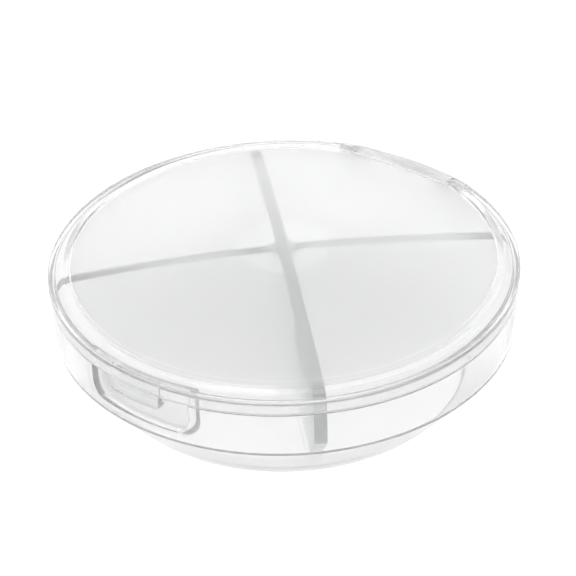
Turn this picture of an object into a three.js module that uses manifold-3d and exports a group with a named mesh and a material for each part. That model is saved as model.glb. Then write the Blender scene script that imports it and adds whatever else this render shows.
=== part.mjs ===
// A round, clear plastic pill case: a tapered tray, a hinged lid with a thumb
// catch, a drop-in cross divider that makes four compartments, and two short
// hinge pins. Millimetres, +Z up, origin at the middle of the flat underside,
// hinge at +Y, thumb notch and catch at -Y.
import * as THREE from "three";
import { mergeVertices } from "three/addons/utils/BufferGeometryUtils.js";
import Module from "manifold-3d";

// ---- driving dimensions (mm) ----
const LID_R = 35.0; // outer radius of the lid's flange
const WALL_R = 34.75; // outer radius of the tray's upright wall
const FOOT_R = 27.3; // radius of the flat underside
const WALL_FOOT_Z = 9.1; // where the upright wall turns into the taper
const RIM_Z = 15.9; // the shoulder the lid closes on
const LIP_TOP_Z = 17.2; // top of the upstanding lip inside the lid
const LIP_R_OUT = 33.95;
const INNER_R = 33.35; // inner radius of the tray's wall
const FLOOR_T = 1.3; // thickness of the tray's floor
const LID_Z = 16.2; // lower edge of the lid
const FLANGE_TOP_Z = 18.3; // upper edge of the lid's upright flange
const PANEL_R = 31.6; // edge of the domed panel
const PANEL_Z = 19.46; // height of the panel's edge
const DOME = 1.75; // rise of the panel from its edge to its middle
const LID_T = 1.3; // thickness of the lid
const GAP = 0.3; // clearance between pieces that meet
const DIV_T = 1.8; // thickness of the divider's arms
const DIV_R = 32.9; // reach of the arms
const DIV_FILLET = 1.7; // fillet where the arms cross
const AXIS_Y = 32.2; // hinge axis
const AXIS_Z = 17.4;
const KNUCKLE_R = 1.7; // barrel of the tray's knuckle
const KNUCKLE_HALF = 8.8; // half the knuckle's length
const CUT_Y = 30.2; // straight edge of the lid in front of the knuckle
const EAR_R = 1.45; // the lid's two ears
const EAR_IN = 9.1;
const EAR_OUT = 11.6;
const BORE_R = 0.9;
const PIN_R = 0.7;
const PIN_IN = 6.6;
const PIN_OUT = 11.3;
const RELIEF_Z = 15.15; // tray wall lowered beside the knuckle for the ears
const RELIEF_HALF = 14.4;
const NOTCH_HALF = 8.5; // thumb notch
const NOTCH_Z = 10.9;
const NOTCH_CORNER = 2.3;
const NOTCH_R = 33.3; // back wall of the notch, outer face
const NOTCH_IN_R = 32.3; // and its inner face
const TONGUE_HALF = 4.25; // catch tongue on the lid
const TONGUE_Z = 13.8;
const SEG = 96;

// ---- solids ----
const wasm = await Module();
wasm.setup();

function solid(geometry) {
  const g = geometry.clone();
  g.deleteAttribute("normal");
  g.deleteAttribute("uv");
  const m = mergeVertices(g, 1e-4);
  const at = m.attributes.position.array;
  const idx = m.index.array;
  const tri = [];
  for (let i = 0; i < idx.length; i += 3) {
    const [a, b, c] = [idx[i], idx[i + 1], idx[i + 2]];
    if (a !== b && b !== c && a !== c) tri.push(a, b, c);
  }
  let s = new wasm.Manifold(
    new wasm.Mesh({
      numProp: 3,
      vertProperties: new Float32Array(at),
      triVerts: new Uint32Array(tri),
    }),
  );
  if (s.volume() < 0) {
    for (let i = 0; i < tri.length; i += 3)
      [tri[i + 1], tri[i + 2]] = [tri[i + 2], tri[i + 1]];
    s = new wasm.Manifold(
      new wasm.Mesh({
        numProp: 3,
        vertProperties: new Float32Array(at),
        triVerts: new Uint32Array(tri),
      }),
    );
  }
  return s;
}

// a profile of [radius, height] pairs, turned about Z
function turned(profile, segments = SEG) {
  const g = new THREE.LatheGeometry(
    profile.map(([r, z]) => new THREE.Vector2(r, z)),
    segments,
  );
  return solid(g.rotateX(Math.PI / 2));
}

// a disc or ring between two heights
function ring(rIn, rOut, z0, z1) {
  return rIn > 0
    ? turned([
        [rIn, z0],
        [rOut, z0],
        [rOut, z1],
        [rIn, z1],
        [rIn, z0],
      ])
    : turned([
        [0, z0],
        [rOut, z0],
        [rOut, z1],
        [0, z1],
      ]);
}

function box(x0, x1, y0, y1, z0, z1) {
  const g = new THREE.BoxGeometry(x1 - x0, y1 - y0, z1 - z0);
  g.translate((x0 + x1) / 2, (y0 + y1) / 2, (z0 + z1) / 2);
  return solid(g);
}

// a [y, z] outline pushed along X
function alongX(outline, x0, x1) {
  const shape = new THREE.Shape(outline.map(([y, z]) => new THREE.Vector2(y, z)));
  const g = new THREE.ExtrudeGeometry(shape, {
    depth: x1 - x0,
    bevelEnabled: false,
  });
  g.applyMatrix4(
    new THREE.Matrix4().makeBasis(
      new THREE.Vector3(0, 1, 0),
      new THREE.Vector3(0, 0, 1),
      new THREE.Vector3(1, 0, 0),
    ),
  );
  g.translate(x0, 0, 0);
  return solid(g);
}

// an [x, y] outline pushed along Z
function alongZ(outline, z0, z1) {
  const shape = new THREE.Shape(outline.map(([x, y]) => new THREE.Vector2(x, y)));
  const g = new THREE.ExtrudeGeometry(shape, {
    depth: z1 - z0,
    bevelEnabled: false,
  });
  g.translate(0, 0, z0);
  return solid(g);
}

// an [x, z] outline pushed along Y
function alongY(outline, y0, y1) {
  const shape = new THREE.Shape(outline.map(([x, z]) => new THREE.Vector2(x, z)));
  const g = new THREE.ExtrudeGeometry(shape, {
    depth: y1 - y0,
    bevelEnabled: false,
  });
  g.rotateX(Math.PI / 2); // depth now runs towards -Y
  g.translate(0, y1, 0);
  return solid(g);
}

function arc(cy, cz, r, a0, a1, n) {
  const out = [];
  for (let i = 0; i <= n; i++) {
    const a = ((a0 + ((a1 - a0) * i) / n) * Math.PI) / 180;
    out.push([cy + r * Math.cos(a), cz + r * Math.sin(a)]);
  }
  return out;
}

const barrel = (r, x0, x1, n = 20) =>
  alongX(arc(AXIS_Y, AXIS_Z, r, 0, 360 - 360 / n, n - 1), x0, x1);

function mesh(name, s, colour, roughness, metalness = 0) {
  const m = s.getMesh();
  const n = m.numProp;
  const v = new Float32Array(m.numVert * 3);
  for (let i = 0; i < m.numVert; i++)
    v.set(m.vertProperties.subarray(i * n, i * n + 3), i * 3);
  const g = new THREE.BufferGeometry()
    .setAttribute("position", new THREE.BufferAttribute(v, 3))
    .setIndex(new THREE.BufferAttribute(new Uint32Array(m.triVerts), 1));
  g.computeVertexNormals();
  const clear = metalness === 0;
  const out = new THREE.Mesh(
    g,
    new THREE.MeshStandardMaterial({
      color: colour,
      roughness,
      metalness,
      transparent: clear,
      opacity: clear ? 0.35 : 1,
    }),
  );
  out.name = name;
  return out;
}

// the panel's dome, and its underside
const domeTop = (r) => PANEL_Z + DOME * (1 - (r / PANEL_R) ** 2);
const domeUnder = (r) => domeTop(r) - LID_T;
const domeRadii = [0, 8, 16, 23, 28, PANEL_R];

// ---- tray ----
function makeTray() {
  const innerFootR = FOOT_R - 1.0;
  let tray = turned([
    [0, 0],
    [FOOT_R - 0.6, 0],
    [FOOT_R, 0.35],
    [WALL_R - 0.35, WALL_FOOT_Z - 0.45],
    [WALL_R, WALL_FOOT_Z],
    [WALL_R, RIM_Z],
    [LIP_R_OUT, RIM_Z],
    [LIP_R_OUT, LIP_TOP_Z],
    [INNER_R, LIP_TOP_Z],
    [INNER_R, WALL_FOOT_Z + 0.3],
    [innerFootR, FLOOR_T + 0.6],
    [innerFootR - 1.0, FLOOR_T],
    [0, FLOOR_T],
  ]);
  // the lip stops short of the hinge, and the wall is lowered beside it
  tray = tray.subtract(box(-40, 40, 28.8, 40, RIM_Z, 25));
  tray = tray.subtract(box(-RELIEF_HALF, RELIEF_HALF, 28.8, 40, RELIEF_Z, 25));
  // knuckle: a barrel on top of the wall, with the wall's round face behind it
  const outline = [
    [36, 12.2],
    [36, 18.15],
    [34.5, 18.25],
    ...arc(AXIS_Y, AXIS_Z, KNUCKLE_R, 48, 232, 14),
    [INNER_R - 0.3, 13.2],
    [INNER_R - 0.2, 12.2],
  ];
  let knuckle = alongX(outline, -KNUCKLE_HALF, KNUCKLE_HALF);
  knuckle = knuckle.intersect(
    ring(0, WALL_R, 10, LID_Z).add(ring(0, LID_R, LID_Z - 0.01, 22)),
  );
  tray = tray.add(knuckle);
  for (const s of [-1, 1]) {
    const [a, b] = s < 0 ? [-KNUCKLE_HALF - 1, -PIN_IN + GAP] : [PIN_IN - GAP, KNUCKLE_HALF + 1];
    tray = tray.subtract(barrel(BORE_R, a, b, 16));
  }
  // thumb notch: the wall steps inwards behind a U-shaped recess
  const u = (half, low, high, r) => {
    const pts = [[half, high]];
    for (let i = 0; i <= 4; i++) {
      const a = (-i * Math.PI) / 8;
      pts.push([half - r + r * Math.cos(a), low + r + r * Math.sin(a)]);
    }
    for (let i = 0; i <= 4; i++) {
      const a = -Math.PI / 2 - (i * Math.PI) / 8;
      pts.push([-half + r + r * Math.cos(a), low + r + r * Math.sin(a)]);
    }
    pts.push([-half, high]);
    return pts;
  };
  const backing = alongY(
    u(NOTCH_HALF + 1.0, NOTCH_Z - 1.0, 17.0, NOTCH_CORNER + 1.0),
    -40,
    -24,
  ).intersect(ring(NOTCH_IN_R, INNER_R + 0.3, 8, 17.0));
  tray = tray.add(backing);
  const recess = alongY(u(NOTCH_HALF, NOTCH_Z, 22, NOTCH_CORNER), -40, -24).subtract(
    ring(0, NOTCH_R, 5, 25),
  );
  tray = tray.subtract(recess);
  // the catch's rib on the notch's back wall
  const rib = ring(NOTCH_R - 0.4, NOTCH_R + 0.3, 15.05, 15.6).intersect(
    box(-TONGUE_HALF, TONGUE_HALF, -40, -20, 10, 20),
  );
  return tray.add(rib);
}

// ---- lid ----
function makeLid() {
  let lid = turned([
    ...domeRadii.slice(0, -1).map((r) => [r, domeUnder(r)]),
    [PANEL_R - 0.2, domeUnder(PANEL_R - 0.2)],
    [33.2, LIP_TOP_Z + GAP + 0.1],
    [LIP_R_OUT + GAP, LIP_TOP_Z + GAP],
    [LIP_R_OUT + GAP, LID_Z],
    [LID_R, LID_Z],
    [LID_R, FLANGE_TOP_Z],
    [LID_R - 0.35, FLANGE_TOP_Z + 0.28],
    [LID_R - 1.1, FLANGE_TOP_Z + 0.35],
    [LID_R - 1.7, FLANGE_TOP_Z + 0.75],
    [PANEL_R + 0.9, PANEL_Z - 0.05],
    ...domeRadii
      .slice()
      .reverse()
      .map((r) => [r, domeTop(r)]),
  ]);
  lid = lid.subtract(box(-EAR_IN, EAR_IN, CUT_Y, 40, 10, 25));
  for (const s of [-1, 1]) {
    const [a, b] = s < 0 ? [-EAR_OUT, -EAR_IN] : [EAR_IN, EAR_OUT];
    lid = lid.add(barrel(EAR_R, a, b, 20).intersect(ring(0, LID_R, 10, 25)));
    lid = lid.subtract(barrel(BORE_R, a - 2.4, b + 2.4, 16)); // open to the side, so the pin can be pressed in
  }
  // catch tongue hanging in the thumb notch, with a bead that goes under the rib
  const tongue = ring(LIP_R_OUT, LID_R - 0.1, TONGUE_Z, LIP_TOP_Z + 0.9).intersect(
    box(-TONGUE_HALF, TONGUE_HALF, -40, -20, 10, 20),
  );
  const bead = ring(NOTCH_R + GAP, LIP_R_OUT + 0.3, TONGUE_Z, TONGUE_Z + 0.7).intersect(
    box(-TONGUE_HALF, TONGUE_HALF, -40, -20, 10, 20),
  );
  return lid.add(tongue).add(bead);
}

// ---- divider ----
function makeDivider() {
  const t = DIV_T / 2;
  const f = DIV_FILLET;
  const L = 40;
  const pts = [];
  for (let q = 0; q < 4; q++) {
    const c = Math.cos((q * Math.PI) / 2);
    const s = Math.sin((q * Math.PI) / 2);
    const turn = ([x, y]) => [x * c - y * s, x * s + y * c];
    pts.push(turn([L, -t]), turn([L, t]));
    for (let i = 0; i <= 4; i++) {
      const a = -Math.PI / 2 - (i * Math.PI) / 8;
      pts.push(turn([t + f + f * Math.cos(a), t + f + f * Math.sin(a)]));
    }
  }
  const plan = alongZ(pts, 0, 25).rotate([0, 0, 45]);
  const under = (r) => domeUnder(r) - GAP;
  const envelope = turned([
    [0, FLOOR_T + GAP],
    [FOOT_R - 2.1, FLOOR_T + GAP],
    [FOOT_R - 1.3, FLOOR_T + GAP + 0.5],
    [DIV_R, WALL_FOOT_Z + 0.45],
    [DIV_R, 16.5],
    [DIV_R - 0.4, 17.25],
    [DIV_R - 1.2, under(DIV_R - 1.2) - 0.05],
    [28, under(28)],
    [23, under(23)],
    [16, under(16)],
    [8, under(8)],
    [0, under(0)],
  ]);
  return plan.intersect(envelope);
}

// ---- assembly ----
const pillCase = new THREE.Group();
const base = new THREE.Group();
const lidGroup = new THREE.Group();
base.add(mesh("base_tray", makeTray(), 0xf4f5f5, 0.08));
base.add(mesh("cross_divider", makeDivider(), 0xd8dada, 0.16));
base.add(mesh("hinge_pin_left", barrel(PIN_R, -PIN_OUT, -PIN_IN, 16), 0xb9bcbe, 0.3, 1));
base.add(mesh("hinge_pin_right", barrel(PIN_R, PIN_IN, PIN_OUT, 16), 0xb9bcbe, 0.3, 1));
lidGroup.add(mesh("lid", makeLid(), 0xf4f5f5, 0.06));
pillCase.add(base, lidGroup);

export default pillCase;
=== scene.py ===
# A round, clear plastic pill case. Metres, row frame, hinge at +Y, thumb notch at -Y.
import math
import bmesh
import bpy
import numpy as np
from mathutils import Matrix, Vector


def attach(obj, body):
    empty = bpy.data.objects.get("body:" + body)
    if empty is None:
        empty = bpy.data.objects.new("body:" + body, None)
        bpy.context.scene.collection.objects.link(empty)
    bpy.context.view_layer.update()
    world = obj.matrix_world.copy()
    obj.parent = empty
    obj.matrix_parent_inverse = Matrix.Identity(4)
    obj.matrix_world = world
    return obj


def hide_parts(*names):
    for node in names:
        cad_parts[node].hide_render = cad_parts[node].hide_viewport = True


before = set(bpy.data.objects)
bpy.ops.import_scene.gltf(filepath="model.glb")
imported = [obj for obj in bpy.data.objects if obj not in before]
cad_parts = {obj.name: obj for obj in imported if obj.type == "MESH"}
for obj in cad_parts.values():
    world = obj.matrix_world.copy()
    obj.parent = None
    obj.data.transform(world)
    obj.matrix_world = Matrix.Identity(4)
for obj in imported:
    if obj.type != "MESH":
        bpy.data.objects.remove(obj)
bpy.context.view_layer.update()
MM = 0.001

# ------------------------------------------------------------------ sizes (mm), as in the CAD frame
LID_R, WALL_R, FOOT_R, WALL_FOOT_Z = 35.0, 34.75, 27.3, 9.1
RIM_Z, LIP_TOP_Z, LIP_R_OUT, INNER_R, FLOOR_T = 15.9, 17.2, 33.95, 33.35, 1.3
LID_Z, FLANGE_TOP_Z, PANEL_R, PANEL_Z, DOME, LID_T, GAP = 16.2, 18.3, 31.6, 19.46, 1.75, 1.3, 0.3
DIV_T, DIV_R, DIV_FILLET = 1.8, 32.9, 1.7
AXIS_Y, AXIS_Z, KNUCKLE_R, KNUCKLE_HALF, CUT_Y = 32.2, 17.4, 1.7, 8.8, 30.2
EAR_R, EAR_IN, EAR_OUT, BORE_R, PIN_R, PIN_IN, PIN_OUT = 1.45, 9.1, 11.6, 0.9, 0.7, 6.6, 11.3
RELIEF_Z, RELIEF_HALF = 15.15, 14.4
NOTCH_HALF, NOTCH_Z, NOTCH_CORNER, NOTCH_R, NOTCH_IN_R = 8.5, 10.9, 2.3, 33.3, 32.3
TONGUE_HALF, TONGUE_Z = 4.25, 13.8


# ------------------------------------------------------------------ mesh helpers
def new_object(name, verts, faces):
    me = bpy.data.meshes.new(name)
    me.from_pydata([tuple(float(c) * MM for c in v) for v in verts], [], [tuple(int(i) for i in f) for f in faces])
    me.validate()
    ob = bpy.data.objects.new(name, me)
    bpy.context.scene.collection.objects.link(ob)
    return ob


def fillet(points, radii, step=14):
    """A closed or open polyline of (r, z) with its corners rounded: radii[i] is the round at points[i]."""
    out = []
    n = len(points)
    for i, (p, rad) in enumerate(zip(points, radii)):
        p = np.array(p, float)
        if rad <= 0 or i in (0, n - 1):
            out.append(tuple(p))
            continue
        a, b = np.array(points[i - 1], float), np.array(points[i + 1], float)
        u, w = (a - p), (b - p)
        lu, lw = np.linalg.norm(u), np.linalg.norm(w)
        u, w = u / lu, w / lw
        ang = math.acos(max(-1, min(1, float(u @ w))))
        cut = min(rad / math.tan(ang / 2), 0.48 * lu, 0.48 * lw)
        rr = cut * math.tan(ang / 2)
        c = p + (u + w) / np.linalg.norm(u + w) * (rr / math.sin(ang / 2))
        s, e = p + u * cut - c, p + w * cut - c
        turn = math.pi - ang
        k = max(2, int(math.ceil(math.degrees(turn) / step)))
        a0 = math.atan2(s[1], s[0])
        a1 = math.atan2(e[1], e[0])
        d = (a1 - a0 + math.pi) % (2 * math.pi) - math.pi
        for j in range(k + 1):
            t = a0 + d * j / k
            out.append((c[0] + rr * math.cos(t), c[1] + rr * math.sin(t)))
    return out


def lathe(name, profile, thetas, warp=None):
    """A profile of (r, z) from the axis to the axis, turned about Z. warp(r, z, theta, index) may move each point."""
    thetas = np.asarray(thetas, float)
    n, m = len(profile), len(thetas)
    verts, rows = [], []
    for j, (r, z) in enumerate(profile):
        if r < 1e-6:
            rows.append([len(verts)])
            verts.append((0, 0, z))
            continue
        ids = []
        for t in thetas:
            rr, zz = (r, z) if warp is None else warp(r, z, t, j)
            ids.append(len(verts))
            verts.append((rr * math.cos(t), rr * math.sin(t), zz))
        rows.append(ids)
    faces = []
    for j in range(n - 1):
        a, b = rows[j], rows[j + 1]
        for i in range(m):
            k = (i + 1) % m
            if len(a) == 1 and len(b) == 1:
                continue
            if len(a) == 1:
                faces.append((a[0], b[i], b[k]))
            elif len(b) == 1:
                faces.append((a[i], b[0], a[k]))
            else:
                faces.append((a[i], b[i], b[k], a[k]))
    ob = new_object(name, verts, faces)
    outward(ob)
    return ob


def outward(ob):
    bm = bmesh.new()
    bm.from_mesh(ob.data)
    bmesh.ops.recalc_face_normals(bm, faces=bm.faces)
    if bm.calc_volume(signed=True) < 0:
        bmesh.ops.reverse_faces(bm, faces=bm.faces)
    bm.to_mesh(ob.data)
    bm.free()


def prism(name, outline, a, b, axis):
    """A closed 2-D outline pushed from a to b along an axis: along x it is (y, z), along y (x, z), along z (x, y)."""
    n = len(outline)

    def at(p, q):
        return {"x": (q, p[0], p[1]), "y": (p[0], q, p[1]), "z": (p[0], p[1], q)}[axis]

    verts = [at(p, a) for p in outline] + [at(p, b) for p in outline]
    faces = [tuple(range(n)), tuple(reversed(range(n, 2 * n)))]
    faces += [(i, (i + 1) % n, n + (i + 1) % n, n + i) for i in range(n)]
    ob = new_object(name, verts, faces)
    outward(ob)
    return ob


def brick(name, x0, x1, y0, y1, z0, z1):
    return prism(name, [(x0, y0), (x1, y0), (x1, y1), (x0, y1)], z0, z1, "z")


def circle(cy, cz, r, n, a0=0.0, a1=360.0, closed=True):
    k = n if closed else n - 1
    return [(cy + r * math.cos(math.radians(a0 + (a1 - a0) * i / k)), cz + r * math.sin(math.radians(a0 + (a1 - a0) * i / k))) for i in range(n)]


def boolean(ob, other, op):
    m = ob.modifiers.new("b", "BOOLEAN")
    m.operation, m.object, m.solver = op, other, "EXACT"
    dg = bpy.context.evaluated_depsgraph_get()
    me = bpy.data.meshes.new_from_object(ob.evaluated_get(dg))
    ob.modifiers.clear()
    old = ob.data
    ob.data = me
    bpy.data.meshes.remove(old)
    od = other.data
    bpy.data.objects.remove(other)
    bpy.data.meshes.remove(od)
    return ob


def tidy(ob, weld=0.002):
    bm = bmesh.new()
    bm.from_mesh(ob.data)
    bmesh.ops.remove_doubles(bm, verts=bm.verts, dist=weld * MM)
    bmesh.ops.dissolve_degenerate(bm, edges=bm.edges, dist=weld * MM * 0.5)
    bm.to_mesh(ob.data)
    bm.free()


def soften(ob, width, angle=38, segments=3):
    """Rounds the sharp edges, as a mould leaves them."""
    m = ob.modifiers.new("bevel", "BEVEL")
    m.width, m.segments, m.limit_method, m.angle_limit = width * MM, segments, "ANGLE", math.radians(angle)
    m.use_clamp_overlap, m.harden_normals, m.miter_outer = True, False, "MITER_SHARP"
    dg = bpy.context.evaluated_depsgraph_get()
    me = bpy.data.meshes.new_from_object(ob.evaluated_get(dg))
    ob.modifiers.clear()
    old = ob.data
    ob.data = me
    bpy.data.meshes.remove(old)


def smooth(ob, angle=32):
    me = ob.data
    me.polygons.foreach_set("use_smooth", [True] * len(me.polygons))
    me.set_sharp_from_angle(angle=math.radians(angle))
    me.update()


def open_edges(ob):
    bm = bmesh.new()
    bm.from_mesh(ob.data)
    bad = sum(1 for e in bm.edges if len(e.link_faces) != 2)
    v = bm.calc_volume(signed=True) * 1e9
    f = len(bm.faces)
    bm.free()
    return bad, round(v, 1), f


def angles(n, dense):
    """n even steps, with more of them in each (centre, half-width, count) band, in degrees."""
    a = set(np.round(np.linspace(0, 360, n, endpoint=False), 5))
    for c, h, k in dense:
        a |= set(np.round(np.linspace(c - h, c + h, k) % 360, 5))
    a = sorted(a)
    out = [a[0]]
    for x in a[1:]:
        if x - out[-1] > 0.02:
            out.append(x)
    return np.radians(out)


def dome_top(r):
    return PANEL_Z + DOME * (1 - (r / PANEL_R) ** 2)


def dome_under(r):
    return dome_top(r) - LID_T


def sd_box2(x, z, half, low, high, r):
    """Signed distance to the notch's outline, a box with rounded lower corners, below zero inside."""
    cx, cz = 0.0, (low + high) / 2
    hx, hz = half - r, (high - low) / 2 - r
    qx, qz = abs(x - cx) - hx, abs(z - cz) - hz
    return math.hypot(max(qx, 0), max(qz, 0)) + min(max(qx, qz), 0) - r


def ease(t):
    t = max(0.0, min(1.0, t))
    return t * t * (3 - 2 * t)


# ------------------------------------------------------------------ tray
def make_tray():
    foot_in = FOOT_R - 0.13
    outer = fillet(
        [(0, 0.0), (FOOT_R - 3.2, 0.0), (FOOT_R, 0.0), (WALL_R, WALL_FOOT_Z), (WALL_R, RIM_Z), (LIP_R_OUT, RIM_Z), (LIP_R_OUT, LIP_TOP_Z), (INNER_R, LIP_TOP_Z),
         (INNER_R, WALL_FOOT_Z - 0.25), (foot_in, FLOOR_T), (0, FLOOR_T)],
        [0, 0, 0.7, 0.12, 0.15, 0.1, 0.16, 0.2, 0.25, 1.6, 0],
        step=12,
    )
    # finer steps up the wall, outside and inside, so that the notch has room to bend it
    prof = []
    for (r0, z0), (r1, z1) in zip(outer, outer[1:]):
        d = math.hypot(r1 - r0, z1 - z0)
        upright = abs(r1 - r0) < 0.02 and d > 1.0
        step = 0.13 if upright else (2.2 if d > 2.4 else 10)
        k = max(1, int(round(d / step)))
        for i in range(k):
            prof.append((r0 + (r1 - r0) * i / k, z0 + (z1 - z0) * i / k))
    prof.append(outer[-1])
    depth = WALL_R - NOTCH_R
    swell = INNER_R - NOTCH_IN_R

    def warp(r, z, t, j):
        x, y = r * math.cos(t), r * math.sin(t)
        if y > 0 or z < 8.8 or r < 30:
            return r, z
        if r > INNER_R + 0.3:  # outer skin: the recess
            sd = sd_box2(x, z, NOTCH_HALF, NOTCH_Z, 30, NOTCH_CORNER)
            # the edge is crisper on one side
            k = ease((-sd + 0.07) / (0.22 - 0.12 * ease((x - 3.0) / 3.0)))
            if k <= 0:
                return r, z
            # the back wall stands at one depth up to the rim
            target = NOTCH_R if z < LIP_TOP_Z + 0.01 else r
            rr = min(r, WALL_R - depth * k)
            return rr, z
        sd = sd_box2(x, z, NOTCH_HALF + 1.0, NOTCH_Z - 1.0, 30, NOTCH_CORNER + 1.0)
        k = ease((-sd + 0.2) / 0.9)
        return r - swell * k, z

    th = angles(360, [(270, 17.5, 360)])
    tray = lathe("tray_body", prof, th, warp)
    # lip stops short of the hinge, wall lowered beside the knuckle
    boolean(tray, brick("c1", -40, 40, 28.8, 40, RIM_Z, 25), "DIFFERENCE")
    boolean(tray, brick("c2", -RELIEF_HALF, RELIEF_HALF, 28.8, 40, RELIEF_Z, 25), "DIFFERENCE")
    # knuckle
    outline = [(36.2, 12.2), (36.2, 18.0)] + [(34.6, 18.25)] + circle(AXIS_Y, AXIS_Z, KNUCKLE_R, 28, 50, 232, closed=False) + [(INNER_R - 0.3, 13.2), (INNER_R - 0.2, 12.2)]
    kn = prism("kn", outline, -KNUCKLE_HALF, KNUCKLE_HALF, "x")
    th2 = angles(720, [])
    cyl = lathe("cy", [(0, 10), (WALL_R, 10), (WALL_R, LID_Z - 0.2), (LID_R, LID_Z), (LID_R, 22), (0, 22)], th2)
    boolean(kn, cyl, "INTERSECT")
    boolean(tray, kn, "UNION")
    for s in (-1, 1):
        a, b = sorted((s * (PIN_IN - GAP), s * (KNUCKLE_HALF + 1)))
        boolean(tray, prism("bo", circle(AXIS_Y, AXIS_Z, BORE_R, 32), a, b, "x"), "DIFFERENCE")
    # catch rib on the notch's back wall
    rib = lathe("rb", fillet([(NOTCH_R - 0.4, 15.05), (NOTCH_R + 0.3, 15.05), (NOTCH_R + 0.3, 15.6), (NOTCH_R - 0.4, 15.6), (NOTCH_R - 0.4, 15.05)], [0, .14, .14, 0, 0], 20), th2)
    boolean(rib, brick("rc", -TONGUE_HALF, TONGUE_HALF, -40, -20, 10, 20), "INTERSECT")
    boolean(tray, rib, "UNION")
    tidy(tray)
    return tray


# ------------------------------------------------------------------ lid
def make_lid():
    top = [(r, dome_top(r)) for r in (PANEL_R, 30, 27.5, 25, 22, 19, 16, 13, 10, 7, 4, 2)]
    under = [(r, dome_under(r)) for r in (2, 4, 7, 10, 13, 16, 19, 22, 25, 27.5, 30, PANEL_R - 0.2)]
    pts = [(0, dome_under(0))] + under + [(33.7, LIP_TOP_Z + GAP + 0.12), (LIP_R_OUT + GAP, LIP_TOP_Z + GAP), (LIP_R_OUT + GAP, LID_Z), (LID_R, LID_Z), (LID_R, FLANGE_TOP_Z + 0.3),
           (LID_R - 1.15, FLANGE_TOP_Z + 0.38), (LID_R - 1.75, PANEL_Z - 0.35), (PANEL_R + 1.1, PANEL_Z + 0.12), (PANEL_R + 0.22, PANEL_Z + 0.17)] + top + [(0, dome_top(0))]
    rad = [0] + [0] * len(under) + [0.5, 0.12, 0.1, 0.12, 0.28, 0.35, 0.7, 0.45, 0.15] + [0.12] + [0] * (len(top) - 1) + [0]
    prof = fillet(pts, rad, step=10)
    lid = lathe("lid_shell", prof, angles(480, []))
    boolean(lid, brick("c", -EAR_IN, EAR_IN, CUT_Y, 40, 10, 25), "DIFFERENCE")
    th2 = angles(720, [])
    for s in (-1, 1):
        a, b = sorted((s * EAR_IN, s * EAR_OUT))
        ear = prism("ear", circle(AXIS_Y, AXIS_Z, EAR_R, 48), a, b, "x")
        boolean(ear, lathe("cy", [(0, 10), (LID_R, 10), (LID_R, 25), (0, 25)], th2), "INTERSECT")
        boolean(lid, ear, "UNION")
        a, b = sorted((s * (EAR_IN - 2.4), s * (EAR_OUT + 0.3)))
        boolean(lid, prism("bo", circle(AXIS_Y, AXIS_Z, BORE_R, 32), a, b, "x"), "DIFFERENCE")
    # catch tongue, with the bead that goes under the rib
    ton = lathe("to", fillet([(LIP_R_OUT + 0.05, LIP_TOP_Z + 0.9), (LIP_R_OUT + 0.05, TONGUE_Z + 0.85), (NOTCH_R + GAP, TONGUE_Z + 0.55), (NOTCH_R + GAP, TONGUE_Z), (LID_R - 0.1, TONGUE_Z),
                              (LID_R - 0.1, LIP_TOP_Z + 0.9), (LIP_R_OUT + 0.05, LIP_TOP_Z + 0.9)], [0, 0.1, 0.15, 0.15, 0.25, 0, 0], 20), th2)
    r = 0.7
    tmask = [(TONGUE_HALF, 20)] + [(TONGUE_HALF - r + r * math.cos(a), TONGUE_Z + r + r * math.sin(a)) for a in np.radians(np.linspace(0, -90, 8))] + \
            [(-TONGUE_HALF + r + r * math.cos(a), TONGUE_Z + r + r * math.sin(a)) for a in np.radians(np.linspace(-90, -180, 8))] + [(-TONGUE_HALF, 20)]
    boolean(ton, prism("tm", tmask, -40, -20, "y"), "INTERSECT")
    boolean(lid, ton, "UNION")
    tidy(lid)
    return lid


# ------------------------------------------------------------------ divider
def make_divider():
    # the arms meet in a small round, which opens into a web under the lid
    t, L = DIV_T / 2, 40.0
    verts, n = [], 0
    levels = [(0.5, 0.35), (15.2, 0.35), (17.0, 0.7), (18.2, 1.2), (19.0, DIV_FILLET), (25.0, DIV_FILLET)]
    for zz, f in levels:
        pts = []
        for q in range(4):
            c, s = math.cos(q * math.pi / 2 + math.pi / 4), math.sin(q * math.pi / 2 + math.pi / 4)
            cross = [(L, -t), (L, t)] + [(t + f + f * math.cos(a), t + f + f * math.sin(a)) for a in np.radians(np.linspace(-90, -180, 10))]
            pts += [(x * c - y * s, x * s + y * c, zz) for x, y in cross]
        n = len(pts)
        verts += pts
    faces = [tuple(range(n)), tuple(reversed(range((len(levels) - 1) * n, len(levels) * n)))]
    for k in range(len(levels) - 1):
        faces += [(k * n + i, k * n + (i + 1) % n, (k + 1) * n + (i + 1) % n, (k + 1) * n + i) for i in range(n)]
    plan = new_object("cross_insert", verts, faces)
    outward(plan)
    z = lambda r: dome_under(r) - GAP
    prof = fillet(
        [(0, FLOOR_T + GAP), (FOOT_R - 1.55, FLOOR_T + GAP), (DIV_R, WALL_FOOT_Z + 0.7), (DIV_R, z(DIV_R) - 0.2), (30.5, z(30.5)), (27, z(27)), (23, z(23)), (19, z(19)), (15, z(15)), (11, z(11)), (7, z(7)), (3, z(3)), (0, z(0))],
        [0, 0.8, 1.4, 1.5] + [0] * 9, step=9)
    env = lathe("env", prof, angles(720, []))
    boolean(plan, env, "INTERSECT")
    tidy(plan, 0.004)
    return plan


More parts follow.
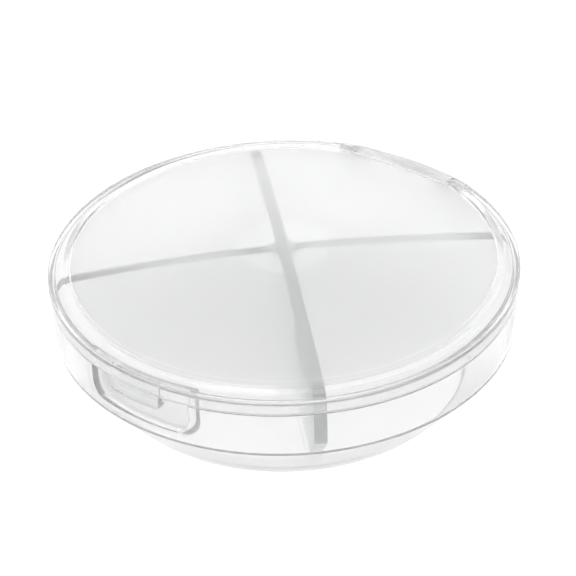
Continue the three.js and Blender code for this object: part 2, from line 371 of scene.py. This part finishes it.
def make_pin(name, a, b):
    n, c = 40, 0.12
    rings = [(a, PIN_R - c), (a + c, PIN_R), (b - c, PIN_R), (b, PIN_R - c)]
    verts, faces = [], []
    for x, r in rings:
        verts += [(x, AXIS_Y + r * math.cos(2 * math.pi * i / n), AXIS_Z + r * math.sin(2 * math.pi * i / n)) for i in range(n)]
    for k in range(len(rings) - 1):
        faces += [(k * n + i, k * n + (i + 1) % n, (k + 1) * n + (i + 1) % n, (k + 1) * n + i) for i in range(n)]
    faces += [tuple(range(n)), tuple(reversed(range((len(rings) - 1) * n, len(rings) * n)))]
    ob = new_object(name, verts, faces)
    outward(ob)
    return ob


tray = make_tray()
lid = make_lid()
divider = make_divider()
pin_l = make_pin("hinge_stub_left", -PIN_OUT, -PIN_IN)
pin_r = make_pin("hinge_stub_right", PIN_IN, PIN_OUT)
soften(divider, 0.22, 40, 3)
for ob in (tray, lid, divider, pin_l, pin_r):
    smooth(ob, 34)
    print("MESH", ob.name, open_edges(ob))

# ------------------------------------------------------------------ materials
def material(name):
    m = bpy.data.materials.new(name)
    m.use_nodes = True
    nt = m.node_tree
    for n in list(nt.nodes):
        nt.nodes.remove(n)
    out = nt.nodes.new("ShaderNodeOutputMaterial")
    p = nt.nodes.new("ShaderNodeBsdfPrincipled")
    nt.links.new(p.outputs[0], out.inputs[0])
    return m, nt, p, out


def node(nt, kind, **props):
    n = nt.nodes.new(kind)
    for k, v in props.items():
        setattr(n, k, v)
    return n


def link(nt, a, b):
    nt.links.new(a, b)


def mapped(nt, value, lo, hi, a, b, smoothstep=False):
    m = node(nt, "ShaderNodeMapRange")
    if smoothstep:
        m.interpolation_type = "SMOOTHSTEP"
    m.inputs["From Min"].default_value, m.inputs["From Max"].default_value = lo, hi
    m.inputs["To Min"].default_value, m.inputs["To Max"].default_value = a, b
    link(nt, value, m.inputs["Value"])
    return m.outputs["Result"]


def noise(nt, coords, scale, detail=4.0, rough=0.5, stretch=None):
    if stretch is not None:
        mp = node(nt, "ShaderNodeMapping")
        mp.inputs["Scale"].default_value = stretch
        link(nt, coords, mp.inputs["Vector"])
        coords = mp.outputs[0]
    n = node(nt, "ShaderNodeTexNoise")
    n.inputs["Scale"].default_value, n.inputs["Detail"].default_value, n.inputs["Roughness"].default_value = scale, detail, rough
    link(nt, coords, n.inputs["Vector"])
    return n.outputs["Fac"]


def maths(nt, op, a, b=None, clamp=False):
    m = node(nt, "ShaderNodeMath", operation=op, use_clamp=clamp)
    for i, v in enumerate((a, b)):
        if v is None:
            continue
        if isinstance(v, (int, float)):
            m.inputs[i].default_value = v
        else:
            link(nt, v, m.inputs[i])
    return m.outputs[0]


def clear_plastic(name, rough_lo, rough_hi, haze, absorb=9.0, tint=(0.80, 0.81, 0.81), clear=0.95, hinge=0.2):
    """Clear polystyrene: refracting, slightly uneven, with hairline scratches, a little absorption in the plastic and a
    soft haze on one face.
    haze is (amount, r_in, r_out, level, above): level is the height in mm, on the axis, of a domed surface parallel to
    the lid panel, and the haze lies above it or below it, full inside r_in and faint from there to r_out."""
    m, nt, p, out = material(name)
    p.inputs["Base Color"].default_value = (0.985, 0.987, 0.987, 1)
    p.inputs["Transmission Weight"].default_value = clear
    p.inputs["IOR"].default_value = 1.5
    p.inputs["Specular IOR Level"].default_value = 0.5
    co = node(nt, "ShaderNodeTexCoord").outputs["Object"]
    cloud = noise(nt, co, 90.0, 3.0)
    r = mapped(nt, cloud, 0.35, 0.65, rough_lo, rough_hi)
    # hairline scratches: thin, long noise in two directions
    sc1 = noise(nt, co, 420.0, 2.0, 0.5, (1.0, 0.035, 1.0))
    sc2 = noise(nt, co, 380.0, 2.0, 0.5, (0.05, 1.0, 1.0))
    s1 = mapped(nt, sc1, 0.70, 0.76, 0.0, 1.0)
    s2 = mapped(nt, sc2, 0.71, 0.77, 0.0, 1.0)
    scratch = maths(nt, "MAXIMUM", s1, s2, clamp=True)
    r = maths(nt, "ADD", r, maths(nt, "MULTIPLY", scratch, 0.06))
    amount, r_in, r_out, level, above = haze
    sep = node(nt, "ShaderNodeSeparateXYZ")
    link(nt, co, sep.inputs[0])
    r2 = maths(nt, "ADD", maths(nt, "MULTIPLY", sep.outputs[0], sep.outputs[0]), maths(nt, "MULTIPLY", sep.outputs[1], sep.outputs[1]))
    rad = maths(nt, "SQRT", r2)
    inside = mapped(nt, rad, r_in * MM, (r_in + 0.5) * MM, 1.0, 0.3, True)
    inside = maths(nt, "MULTIPLY", inside, mapped(nt, rad, (r_out - 0.6) * MM, r_out * MM, 1.0, 0.0, True))
    h = maths(nt, "ADD", sep.outputs[2], maths(nt, "MULTIPLY", r2, DOME / (PANEL_R * PANEL_R) / MM))
    lo, hi = (level - 0.1) * MM, (level + 0.1) * MM
    side = mapped(nt, h, lo, hi, 0.0 if above else 1.0, 1.0 if above else 0.0)
    hz = maths(nt, "MULTIPLY", maths(nt, "MULTIPLY", inside, side), amount)
    hz = maths(nt, "MULTIPLY", hz, mapped(nt, noise(nt, co, 45.0, 3.0), 0.3, 0.7, 0.9, 1.1))
    if name == "lid_clear":  # the gate: a disc at the middle left smoother than the rest
        hz = maths(nt, "MULTIPLY", hz, mapped(nt, rad, 6.5 * MM, 7.4 * MM, 0.66, 1.0, True))
    # the hinge is matt from the tool
    hx = maths(nt, "ABSOLUTE", sep.outputs[0])
    matt = maths(nt, "MULTIPLY", mapped(nt, sep.outputs[1], 30.0 * MM, 30.8 * MM, 0.0, hinge, True), mapped(nt, hx, 12.5 * MM, 15.0 * MM, 1.0, 0.0, True))
    hz = maths(nt, "MAXIMUM", hz, matt)
    if name == "lid_clear":  # and so is the catch tongue
        low = mapped(nt, sep.outputs[2], 15.4 * MM, 16.0 * MM, 0.25, 0.0, True)
        hz = maths(nt, "MAXIMUM", hz, maths(nt, "MULTIPLY", low, mapped(nt, hx, 4.6 * MM, 4.9 * MM, 1.0, 0.0, True)))
    if name == "tray_clear":  # and the thumb notch, softly
        fr = maths(nt, "MULTIPLY", mapped(nt, sep.outputs[1], -31.5 * MM, -30.5 * MM, 0.22, 0.0, True), mapped(nt, hx, 9.0 * MM, 11.0 * MM, 1.0, 0.0, True))
        hz = maths(nt, "MAXIMUM", hz, maths(nt, "MULTIPLY", fr, mapped(nt, sep.outputs[2], 9.6 * MM, 10.4 * MM, 0.0, 1.0, True)))
    r = maths(nt, "ADD", r, hz)
    link(nt, r, p.inputs["Roughness"])
    # bump: faint mould ripple, plus the scratches
    ripple = noise(nt, co, 160.0, 2.0)
    b1 = node(nt, "ShaderNodeBump")
    b1.inputs["Strength"].default_value = 0.25
    b1.inputs["Distance"].default_value = 0.00006
    link(nt, ripple, b1.inputs["Height"])
    b2 = node(nt, "ShaderNodeBump")
    b2.inputs["Strength"].default_value = 0.35
    b2.inputs["Distance"].default_value = 0.00001
    link(nt, scratch, b2.inputs["Height"])
    link(nt, b1.outputs[0], b2.inputs["Normal"])
    link(nt, b2.outputs[0], p.inputs["Normal"])
    va = node(nt, "ShaderNodeVolumeAbsorption")
    va.inputs["Color"].default_value = (*tint, 1)
    va.inputs["Density"].default_value = absorb * 5
    link(nt, va.outputs[0], out.inputs["Volume"])
    return m


m_tray = clear_plastic("tray_clear", 0.02, 0.05, haze=(0.12, 40.0, 42.0, 10.7, False), absorb=4.0, clear=0.88, hinge=0.35)
m_lid = clear_plastic("lid_clear", 0.02, 0.04, haze=(0.4, 31.5, 34.2, PANEL_Z + DOME - LID_T / 2, False), absorb=4.0, clear=0.88, hinge=0.35)
m_div = clear_plastic("divider_clear", 0.01, 0.02, haze=(0.2, 31.5, 33.0, PANEL_Z + DOME - LID_T - GAP - 0.35, True), absorb=15.0, clear=1.0, hinge=0.0)

m_pin, nt, p, out = material("pin_steel")
p.inputs["Metallic"].default_value = 1.0
co = node(nt, "ShaderNodeTexCoord").outputs["Object"]
drawn = noise(nt, co, 900.0, 3.0, 0.6, (0.04, 1.0, 1.0))
cr = node(nt, "ShaderNodeValToRGB")
cr.color_ramp.elements[0].color, cr.color_ramp.elements[1].color = (0.72, 0.73, 0.74, 1), (0.86, 0.86, 0.87, 1)
link(nt, drawn, cr.inputs[0])
link(nt, cr.outputs[0], p.inputs["Base Color"])
link(nt, mapped(nt, drawn, 0.3, 0.7, 0.22, 0.4), p.inputs["Roughness"])

for ob, m, body, nodes_, slot in (
    (tray, m_tray, "base", ("base_tray",), "tray_plastic"),
    (lid, m_lid, "lid", ("lid",), "lid_plastic"),
    (divider, m_div, "base", ("cross_divider",), "divider_plastic"),
    (pin_l, m_pin, "base", ("hinge_pin_left",), "pin_steel"),
    (pin_r, m_pin, "base", ("hinge_pin_right",), "pin_steel"),
):
    ob.data.materials.clear()
    ob.data.materials.append(m)
    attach(ob, body)
    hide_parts(*nodes_)

# ------------------------------------------------------------------ stage
ENV_POWER = 1.0
ENV_RAMP = [(-10, 1.1), (12, 1.35), (30, 1.6), (45, 1.4), (65, 1.3), (80, 1.4)]  # elevation in degrees, brightness
ENV_LOBES = [((-0.407, 0.531, 0.743), 4, 21, -1.2), ((-0.56, 0.73, 0.38), 4, 18, 0.2), ((0.0, -0.36, 0.93), 6, 18, 2.6), ((0.793, 0.609, 0.45), 8, 32, -0.6), ((-0.793, -0.609, 0.45), 8, 30, -0.45)]  # direction, inner and outer angle, amount
FLOOR_GLOW, FLOOR_BASE = 1.04, 0.12
bpy.ops.mesh.primitive_plane_add(size=6.0, location=(0, 0, -0.0002))
floor = bpy.context.active_object
floor.name = "floor"
fm, nt, p, out = material("floor_white")
p.inputs["Base Color"].default_value = (FLOOR_BASE, FLOOR_BASE, FLOOR_BASE, 1)
p.inputs["Roughness"].default_value = 0.8
p.inputs["Specular IOR Level"].default_value = 0.0
p.inputs["Emission Color"].default_value = (1, 1, 1, 1)  # a lit white table top
p.inputs["Emission Strength"].default_value = FLOOR_GLOW
floor.data.materials.append(fm)

world = bpy.data.worlds.new("studio")
bpy.context.scene.world = world
world.use_nodes = True
wn = world.node_tree
for n in list(wn.nodes):
    wn.nodes.remove(n)
wo = wn.nodes.new("ShaderNodeOutputWorld")
bg = wn.nodes.new("ShaderNodeBackground")
wd = wn.nodes.new("ShaderNodeTexCoord").outputs["Generated"]


def lobe(direction, near, far, amount):
    """A soft light area round a direction: full inside near degrees, nothing past far degrees."""
    v = Vector(direction).normalized()
    d = node(wn, "ShaderNodeVectorMath", operation="DOT_PRODUCT")
    d.inputs[1].default_value = v
    link(wn, wd, d.inputs[0])
    return mapped(wn, d.outputs["Value"], math.cos(math.radians(far)), math.cos(math.radians(near)), 0.0, amount, True)


sp = node(wn, "ShaderNodeSeparateXYZ")
link(wn, wd, sp.inputs[0])
ramp = node(wn, "ShaderNodeValToRGB")
ramp.color_ramp.interpolation = "EASE"
while len(ramp.color_ramp.elements) < len(ENV_RAMP):
    ramp.color_ramp.elements.new(0.5)
for stop, (deg, v) in zip(ramp.color_ramp.elements, ENV_RAMP):
    stop.position = (deg + 10.0) / 100.0
    stop.color = (v, v, v, 1)
elev = maths(wn, "MULTIPLY", maths(wn, "ARCSINE", sp.outputs[2]), 57.29578)
link(wn, mapped(wn, elev, -10.0, 90.0, 0.0, 1.0), ramp.inputs[0])
total = maths(wn, "MULTIPLY", ramp.outputs[0], 1.0)
for direction, near, far, amount in ENV_LOBES:
    total = maths(wn, "ADD", total, lobe(direction, near, far, amount))
cc = node(wn, "ShaderNodeCombineColor")
for i in range(3):
    link(wn, total, cc.inputs[i])
link(wn, cc.outputs[0], bg.inputs["Color"])
bg.inputs["Strength"].default_value = ENV_POWER
link(wn, bg.outputs[0], wo.inputs["Surface"])

# ------------------------------------------------------------------ camera
R = LID_R * MM
AZ, EL, ROLL, DIST, FPX = 37.5, 33.85, -1.665, 8.0, 1874.25
OX, OY = 284.04, 270.44
a, el, ro = math.radians(AZ), math.radians(EL), math.radians(ROLL)
back = Vector((math.sin(a) * math.cos(el), -math.cos(a) * math.cos(el), math.sin(el)))
right = Vector((math.cos(a), math.sin(a), 0))
up = (-back).cross(right) * -1
up = right.cross(-back)
rr = right * math.cos(ro) + up * math.sin(ro)
uu = -right * math.sin(ro) + up * math.cos(ro)
cam_d = bpy.data.cameras.new("cam")
cam = bpy.data.objects.new("cam", cam_d)
bpy.context.scene.collection.objects.link(cam)
target = Vector((0, 0, LID_Z * MM))
cam.rotation_mode = "QUATERNION"
cam.location = target + back * (DIST * R)
cam.rotation_quaternion = Matrix((rr, uu, back)).transposed().to_quaternion()
cam_d.sensor_fit = "HORIZONTAL"
cam_d.sensor_width = 36.0
cam_d.lens = FPX / 576 * 36.0
cam_d.shift_x = (288 - OX) / 576
cam_d.shift_y = (OY - 288) / 576
cam_d.clip_start, cam_d.clip_end = 0.01, 20
bpy.context.scene.camera = cam

sc = bpy.context.scene
sc.view_settings.view_transform = "Standard"
sc.view_settings.look = "None"
sc.view_settings.exposure = 0.0
cy = sc.cycles
cy.max_bounces, cy.transmission_bounces, cy.glossy_bounces, cy.diffuse_bounces = 32, 32, 16, 6
cy.transparent_max_bounces = 32
cy.caustics_refractive = cy.caustics_reflective = True
cy.sample_clamp_indirect = 3.0
cy.use_denoising = True
